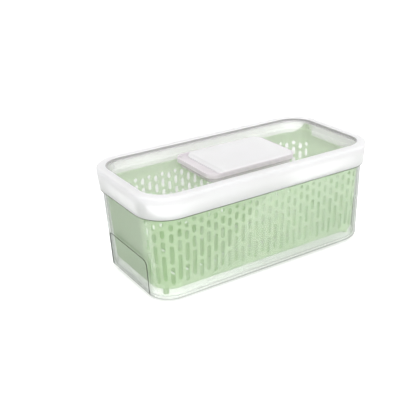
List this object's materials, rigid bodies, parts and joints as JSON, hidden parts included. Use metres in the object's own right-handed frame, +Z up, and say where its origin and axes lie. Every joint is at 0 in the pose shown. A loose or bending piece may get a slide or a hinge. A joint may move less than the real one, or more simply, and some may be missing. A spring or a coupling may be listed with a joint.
{
  "type": "produce keeper",
  "caption": "Long clear produce bin with a slotted green basket inside and a white-banded clear lid that has a sliding vent over a filter.",
  "frame": {"origin": "on the table, under the middle of the bin", "axes": "+X along the length, away from the vent's open end, +Y across the width, +Z up"},
  "size_m": [0.304, 0.152, 0.122],
  "materials": {
    "clear_plastic": "clear gloss",
    "green_plastic": "translucent satin",
    "white_plastic": "satin",
    "grey_rubber": "matt",
    "seal_silicone": "translucent matt",
    "frosted_plastic": "frosted",
    "filter_felt": "felt"
  },
  "bodies": {
    "bin": {"bin": "clear_plastic"},
    "basket": {"basket": "green_plastic"},
    "lid": {"lid_band": "white_plastic", "lid_pan": "clear_plastic", "pan_gasket": "grey_rubber", "lid_seal": "seal_silicone", "vent_tray": "frosted_plastic", "filter_cage": "frosted_plastic", "filter_pad": "filter_felt"},
    "vent_cover": {"vent_cover": "white_plastic"}
  },
  "joints": [
    {"name": "basket_lift", "type": "slide", "parent": "bin", "child": "basket", "axis": [0, 0, 1], "range_m": [0, 0.12]},
    {"name": "lid_lift", "type": "slide", "parent": "basket", "child": "lid", "axis": [0, 0, 1], "range_m": [0, 0.12]},
    {"name": "vent_slide", "type": "slide", "parent": "lid", "child": "vent_cover", "axis": [-1, 0, 0], "range_m": [0, 0.012]}
  ]
}
